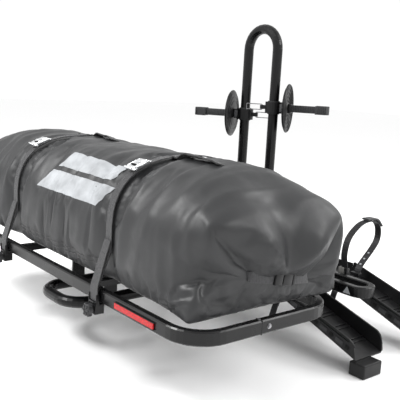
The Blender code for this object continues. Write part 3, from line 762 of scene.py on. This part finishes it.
def make_wheel_strap_trim(look):
    """Ladder ridges along the band, adjusting holes, a base block and the hanging tail."""
    loop = [(-0.046, -0.052), (-0.045, -0.015), (-0.054, 0.027), (-0.042, 0.076), (-0.004, 0.110),
            (0.035, 0.124), (0.080, 0.121), (0.105, 0.099), (0.108, 0.062), (0.086, 0.031),
            (0.030, -0.020), (0.018, -0.050)]
    first_ridge, last_ridge, under_buckle = 22, 100, range(47, 66)
    rubber, label = look["strap_rubber"], look["label_grey"]
    for (row, name), (low, high) in TRAYS.items():
        x, y = SIDES[name] * WHEEL_STRAP_X, (low.y + high.y) / 2
        tag = "_%s_%s" % (row, name)
        path = smooth_path([(x, y + a, z) for a, z in loop], 10)

        def on_band(shape, k, size, bevel):
            along = (path[k + 1] - path[k - 1]).normalized()
            tilt = Matrix.Rotation(math.atan2(along.z, along.y), 3, "X")
            add_box(shape, path[k], size, tilt, bevel)

        ridges, holes = bmesh.new(), bmesh.new()
        for k in range(first_ridge, last_ridge, 2):
            if k not in under_buckle:
                on_band(ridges, k, (0.0200, 0.0022, 0.0046), 0.0006)
        for k in (93, 96, 99):
            on_band(holes, k, (0.0065, 0.0055, 0.0052), 0.0012)
        new_piece("wheel_strap_ridges" + tag, ridges, rubber, "platform")
        new_piece("wheel_strap_holes" + tag, holes, look["print_white"], "platform")
        base = bmesh.new()
        add_box(base, (x, y - 0.0495, -0.030), (0.034, 0.0140, 0.034), None, 0.002)
        add_box(base, (x, y - 0.0590, -0.030), (0.024, 0.0060, 0.020), None, 0.002)
        add_box(base, (x, y + 0.0140, -0.0440), (0.032, 0.0180, 0.012), None, 0.002)
        new_piece("wheel_strap_base" + tag, base, look["black_plastic"], "platform")
        pad = bmesh.new()
        add_box(pad, (x, y - 0.0625, -0.0200), (0.020, 0.0020, 0.0200), None, 0.0008)
        new_piece("wheel_strap_pad" + tag, pad, label, "platform")
        tail = bmesh.new()
        hanging = smooth_path([(x, y - 0.058, -0.036), (x, y - 0.070, -0.060),
                               (x, y - 0.086, -0.090), (x, y - 0.096, -0.118)], 6)
        ribbon(tail, hanging, (1, 0, 0), 0.021, 0.0030)
        new_piece("wheel_strap_tail" + tag, tail, rubber, "platform")


# ---------------------------------------------------------------- clamps

ARM_TIP, DISC_OUTER, DISC_INNER = 0.172, 0.0482, 0.0368   # distances out from the leg's axis
# Rings on each face of the guard disc: share of its radius, lift off the face plane.
OUTER_RINGS = ((0.34, -0.0022), (0.50, -0.0018), (0.66, -0.0013), (0.82, -0.0008), (0.965, 0.0002))
INNER_RINGS = ((0.55, 0.0022), (0.72, 0.0034), (0.88, 0.0052))


def make_clamp_trim(name, look):
    """Rings on the disc, a cover on the arm block, teeth on the ladder strap, ribs on the grip."""
    sleeve_low, sleeve_high = deck_box(name + "_clamp_sleeve")
    strap_low, strap_high = deck_box(name + "_clamp_strap")
    disc_low, disc_high = deck_box(name + "_clamp_disc")
    leg, radius = (sleeve_low + sleeve_high) / 2, (disc_high.z - disc_low.z) / 2
    along = (strap_low + strap_high) / 2 - leg
    turn = Matrix.Rotation(math.atan2(along.y, along.x), 3, "Z")
    body, black, grey = name + "_clamp", look["black_plastic"], look["grey_plastic"]

    def at(distance, across=0.0, rise=0.0):
        """A point out along the arm from the leg's axis."""
        return leg + turn @ Vector((distance, across, rise))

    rings, steps = bmesh.new(), 56
    for face, spread in ((DISC_OUTER, OUTER_RINGS), (DISC_INNER, INNER_RINGS)):
        for share, lift in spread:
            reach = radius * share
            path = [at(face + lift, reach * math.cos(angle), reach * math.sin(angle))
                    for angle in (2 * math.pi * k / steps for k in range(steps))]
            ribbon(rings, path, turn @ Vector((1, 0, 0)), 0.0030, 0.0030, 0.5, closed=True)
    new_piece(name + "_disc_rings", rings, black, body)
    block = bmesh.new()
    add_box(block, at(0.0265), (0.018, 0.030, 0.031), turn, 0.0030)
    add_box(block, at(0.0530), (0.014, 0.026, 0.029), turn, 0.0030)
    new_piece(name + "_arm_block", block, black, body)
    covers, teeth, ribs = bmesh.new(), bmesh.new(), bmesh.new()
    for side in (-1, 1):
        add_box(covers, at(0.0260, side * 0.0152), (0.0150, 0.0014, 0.0250), turn, 0.0006)
        for k in range(14):
            add_box(teeth, at(0.064 + 0.0054 * k, side * 0.0116), (0.0030, 0.0022, 0.0190), turn,
                    0.0005)
        for k in range(6):
            add_box(ribs, at(ARM_TIP - 0.029 + 0.0056 * k, side * 0.0160),
                    (0.0026, 0.0022, 0.0240), turn, 0.0006)
    new_piece(name + "_block_covers", covers, look["cover_grey"], body)
    new_piece(name + "_strap_teeth", teeth, grey, body)
    new_piece(name + "_grip_ribs", ribs, grey, body)


# ---------------------------------------------------------------- frame trim

def add_hex(shape, centre, axis, across, depth):
    """A slightly tapered hexagon head on a round washer."""
    turn = Vector((0, 0, 1)).rotation_difference(Vector(axis)).to_matrix().to_4x4()
    place = Matrix.Translation(Vector(centre)) @ turn
    washer, washer_r = place @ Matrix.Translation((0, 0, -depth / 2)), across * 0.68
    bmesh.ops.create_cone(shape, cap_ends=True, segments=6, radius1=across / 2,
                          radius2=across / 2 * 0.94, depth=depth, matrix=place)
    bmesh.ops.create_cone(shape, cap_ends=True, segments=20, radius1=washer_r, radius2=washer_r,
                          depth=0.0012, matrix=washer)


def make_frame_trim(look):
    """Splice seams and bolts on the cargo frame, its reflectors, and the front loop's labels."""
    frame_high = deck_box("cargo_frame_rear")[1]
    splice_y, rail_middle, rail_top = frame_high.y, 0.01625, 0.0335
    seams, bolts = bmesh.new(), bmesh.new()
    for side in (-1, 1):
        x = side * (frame_high.x - 0.010)
        add_box(seams, (x, splice_y, rail_middle), (0.0212, 0.0016, 0.0337), None, 0.0006)
        add_hex(bolts, (side * (frame_high.x + 0.0014), splice_y + 0.022, rail_middle),
                (side, 0, 0), 0.009, 0.0032)
        add_hex(bolts, (x, splice_y - 0.001, rail_top), (0, 0, 1), 0.0055, 0.0022)
    for y in (0.150, 0.350):
        for x in (-0.28, -0.155, 0.155, 0.28):
            add_hex(bolts, (x, y, 0.0068), (0, 0, -1), 0.011, 0.004)
    new_piece("splice_seams", seams, look["frame_paint"], "platform")
    new_piece("frame_bolts", bolts, look["zinc_steel"], "platform")
    make_reflector_trim(look)
    make_loop_labels(look)


def make_reflector_trim(look):
    low, high = deck_box("rear_reflector")
    middle, size = (low + high) / 2, high - low
    reflector_left, frames = bmesh.new(), bmesh.new()
    add_box(reflector_left, (-middle.x, middle.y, middle.z), size, None, 0.001)
    new_piece("rear_reflector_left", reflector_left, look["red_reflector"], "platform")
    for side in (-1, 1):
        for edge in (-1, 1):
            centre = (side * middle.x, middle.y + 0.0002, middle.z + edge * (size.z / 2 + 0.0006))
            add_box(frames, centre, (size.x + 0.004, size.y, 0.0016), None, 0.0005)
    new_piece("reflector_frames", frames, look["black_plastic"], "platform")


def make_loop_labels(look):
    """A blank pad and a blank triangle on the front loop's rear face."""
    low, high = deck_box("mast_support_loop")
    middle_z, pad_x, triangle_x = (low.z + high.z) / 2, 0.392, 0.450
    pad, label = bmesh.new(), bmesh.new()
    add_box(pad, (pad_x, low.y - 0.0004, middle_z), (0.024, 0.0010, 0.018), None, 0.0004)
    new_piece("loop_pad_label", pad, look["label_grey"], "platform")
    corners = [label.verts.new((triangle_x + a, low.y - 0.0007, middle_z + b))
               for a, b in ((-0.013, -0.010), (0.013, -0.010), (0.0, 0.011))]
    made = bmesh.ops.extrude_face_region(label, geom=[label.faces.new(corners)])["geom"]
    bmesh.ops.translate(label, verts=[v for v in made if isinstance(v, bmesh.types.BMVert)],
                        vec=(0, 0.0006, 0))
    new_piece("loop_triangle_label", label, look["print_white"], "platform")


def make_hitch_trim(look):
    """Two rows of bolts hold the spine's plate to the tilt head."""
    head_low, head_high = deck_box("tilt_head")
    plate_front, middle_z = 0.9872, (head_low.z + head_high.z) / 2
    bolts = bmesh.new()
    for x in (-0.095, -0.055, 0.055, 0.095):
        for rise in (-0.020, 0.020):
            add_hex(bolts, (x, plate_front, middle_z + rise), (0, 1, 0), 0.013, 0.005)
    new_piece("tilt_head_bolts", bolts, look["zinc_steel"], "platform")


# ---------------------------------------------------------------- assembly

def paint_nodes(look):
    slots = {entry["node"]: entry["material_slot"] for entry in frame["record"]["subparts"]}
    for node, obj in NODES.items():
        obj.data.materials.clear()
        obj.data.materials.append(look[slots[node]])


def main():
    make_camera()
    make_stage()
    look = make_looks()
    paint_nodes(look)
    surface = Surface(make_bag(look))
    make_bag_trim(surface, look)
    make_strap_trim(surface, look)
    make_tray_trim(look)
    make_wheel_strap_trim(look)
    for name in SIDES:
        make_clamp_trim(name, look)
    make_frame_trim(look)
    make_hitch_trim(look)


main()
